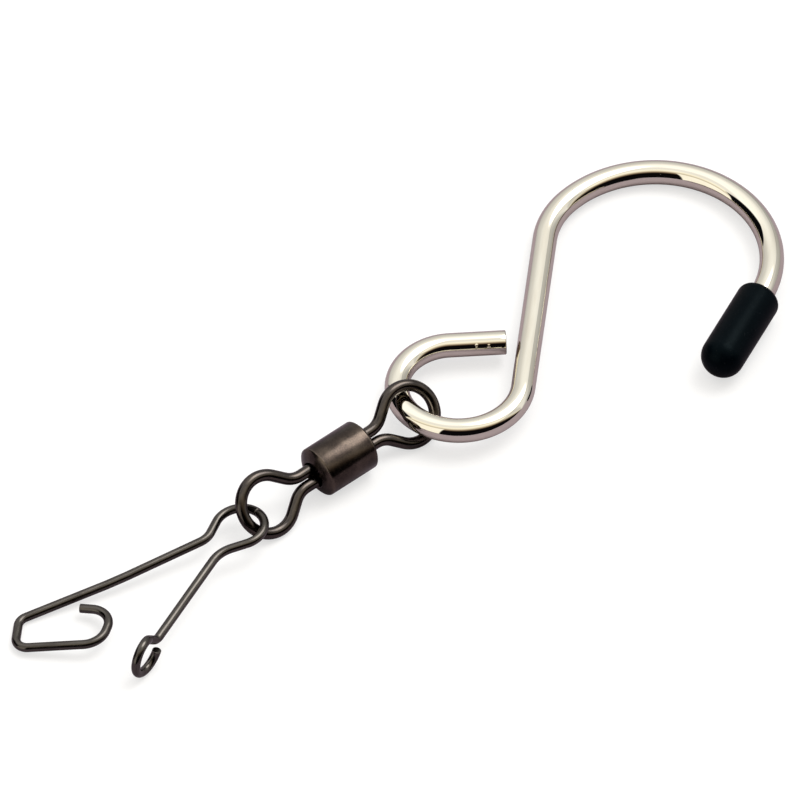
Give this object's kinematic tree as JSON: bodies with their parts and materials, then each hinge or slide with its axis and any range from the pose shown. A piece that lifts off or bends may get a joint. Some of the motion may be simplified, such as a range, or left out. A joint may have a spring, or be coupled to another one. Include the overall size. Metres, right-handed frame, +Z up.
{
  "type": "hanging swivel hook",
  "caption": "Plated S-hook with a rubber-capped tip, joined by a barrel swivel to an open spring-wire snap, to hang things that must turn freely.",
  "frame": {"origin": "middle of the footprint, on the surface that the hook lies on", "axes": "+X along the length towards the rubber-capped tip, +Y towards the crown of the large hook, +Z up from the surface"},
  "size_m": [0.1004, 0.0862, 0.0069],
  "materials": {
    "hook_plating": "bright nickel plate on steel wire",
    "cap_rubber": "smooth moulded rubber, satin",
    "barrel_plating": "satin black nickel on brass",
    "eye_plating": "glossy black nickel on steel wire",
    "snap_plating": "glossy black nickel on spring wire"
  },
  "bodies": {
    "hook": {"s_hook": "hook_plating", "tip_cap": "cap_rubber"},
    "top_eye": {"upper_eye": "eye_plating"},
    "barrel": {"swivel_barrel": "barrel_plating"},
    "bottom_eye": {"lower_eye": "eye_plating"},
    "bow": {"snap_bow": "snap_plating"},
    "hook_arm": {"snap_hook_arm": "snap_plating"},
    "eye_arm": {"snap_eye_arm": "snap_plating"}
  },
  "joints": [
    {"name": "upper_eye_swing", "type": "hinge", "parent": "hook", "child": "top_eye", "pos_m": [0.0012, -0.00067, 0.00345], "axis": [0.4996, -0.6094, 0.6157], "range_deg": [-90, 90]},
    {"name": "upper_swivel_spin", "type": "hinge", "parent": "top_eye", "child": "barrel", "pos_m": [-0.00778, -0.00803, 0.00345], "axis": [0.7733, 0.6341, 0], "continuous": true},
    {"name": "lower_swivel_spin", "type": "hinge", "parent": "barrel", "child": "bottom_eye", "pos_m": [-0.00778, -0.00803, 0.00345], "axis": [0.7733, 0.6341, 0], "continuous": true},
    {"name": "snap_swing", "type": "hinge", "parent": "bottom_eye", "child": "bow", "pos_m": [-0.02039, -0.01857, 0.00324], "axis": [-0.2137, 0.2034, 0.9555], "range_deg": [-90, 90]},
    {"name": "snap_squeeze", "type": "hinge", "parent": "bow", "child": "eye_arm", "pos_m": [-0.02075, -0.02246, 0.00327], "axis": [0.1195, -0.0726, -0.9902], "range_deg": [-10, 14], "stiffness_Nm_per_rad": 0.1},
    {"name": "snap_hook_flex", "type": "hinge", "parent": "bow", "child": "hook_arm", "pos_m": [-0.0241, -0.01881, 0.00259], "axis": [0.9171, -0.3739, 0.1381], "range_deg": [-10, 10], "stiffness_Nm_per_rad": 0.1}
  ]
}
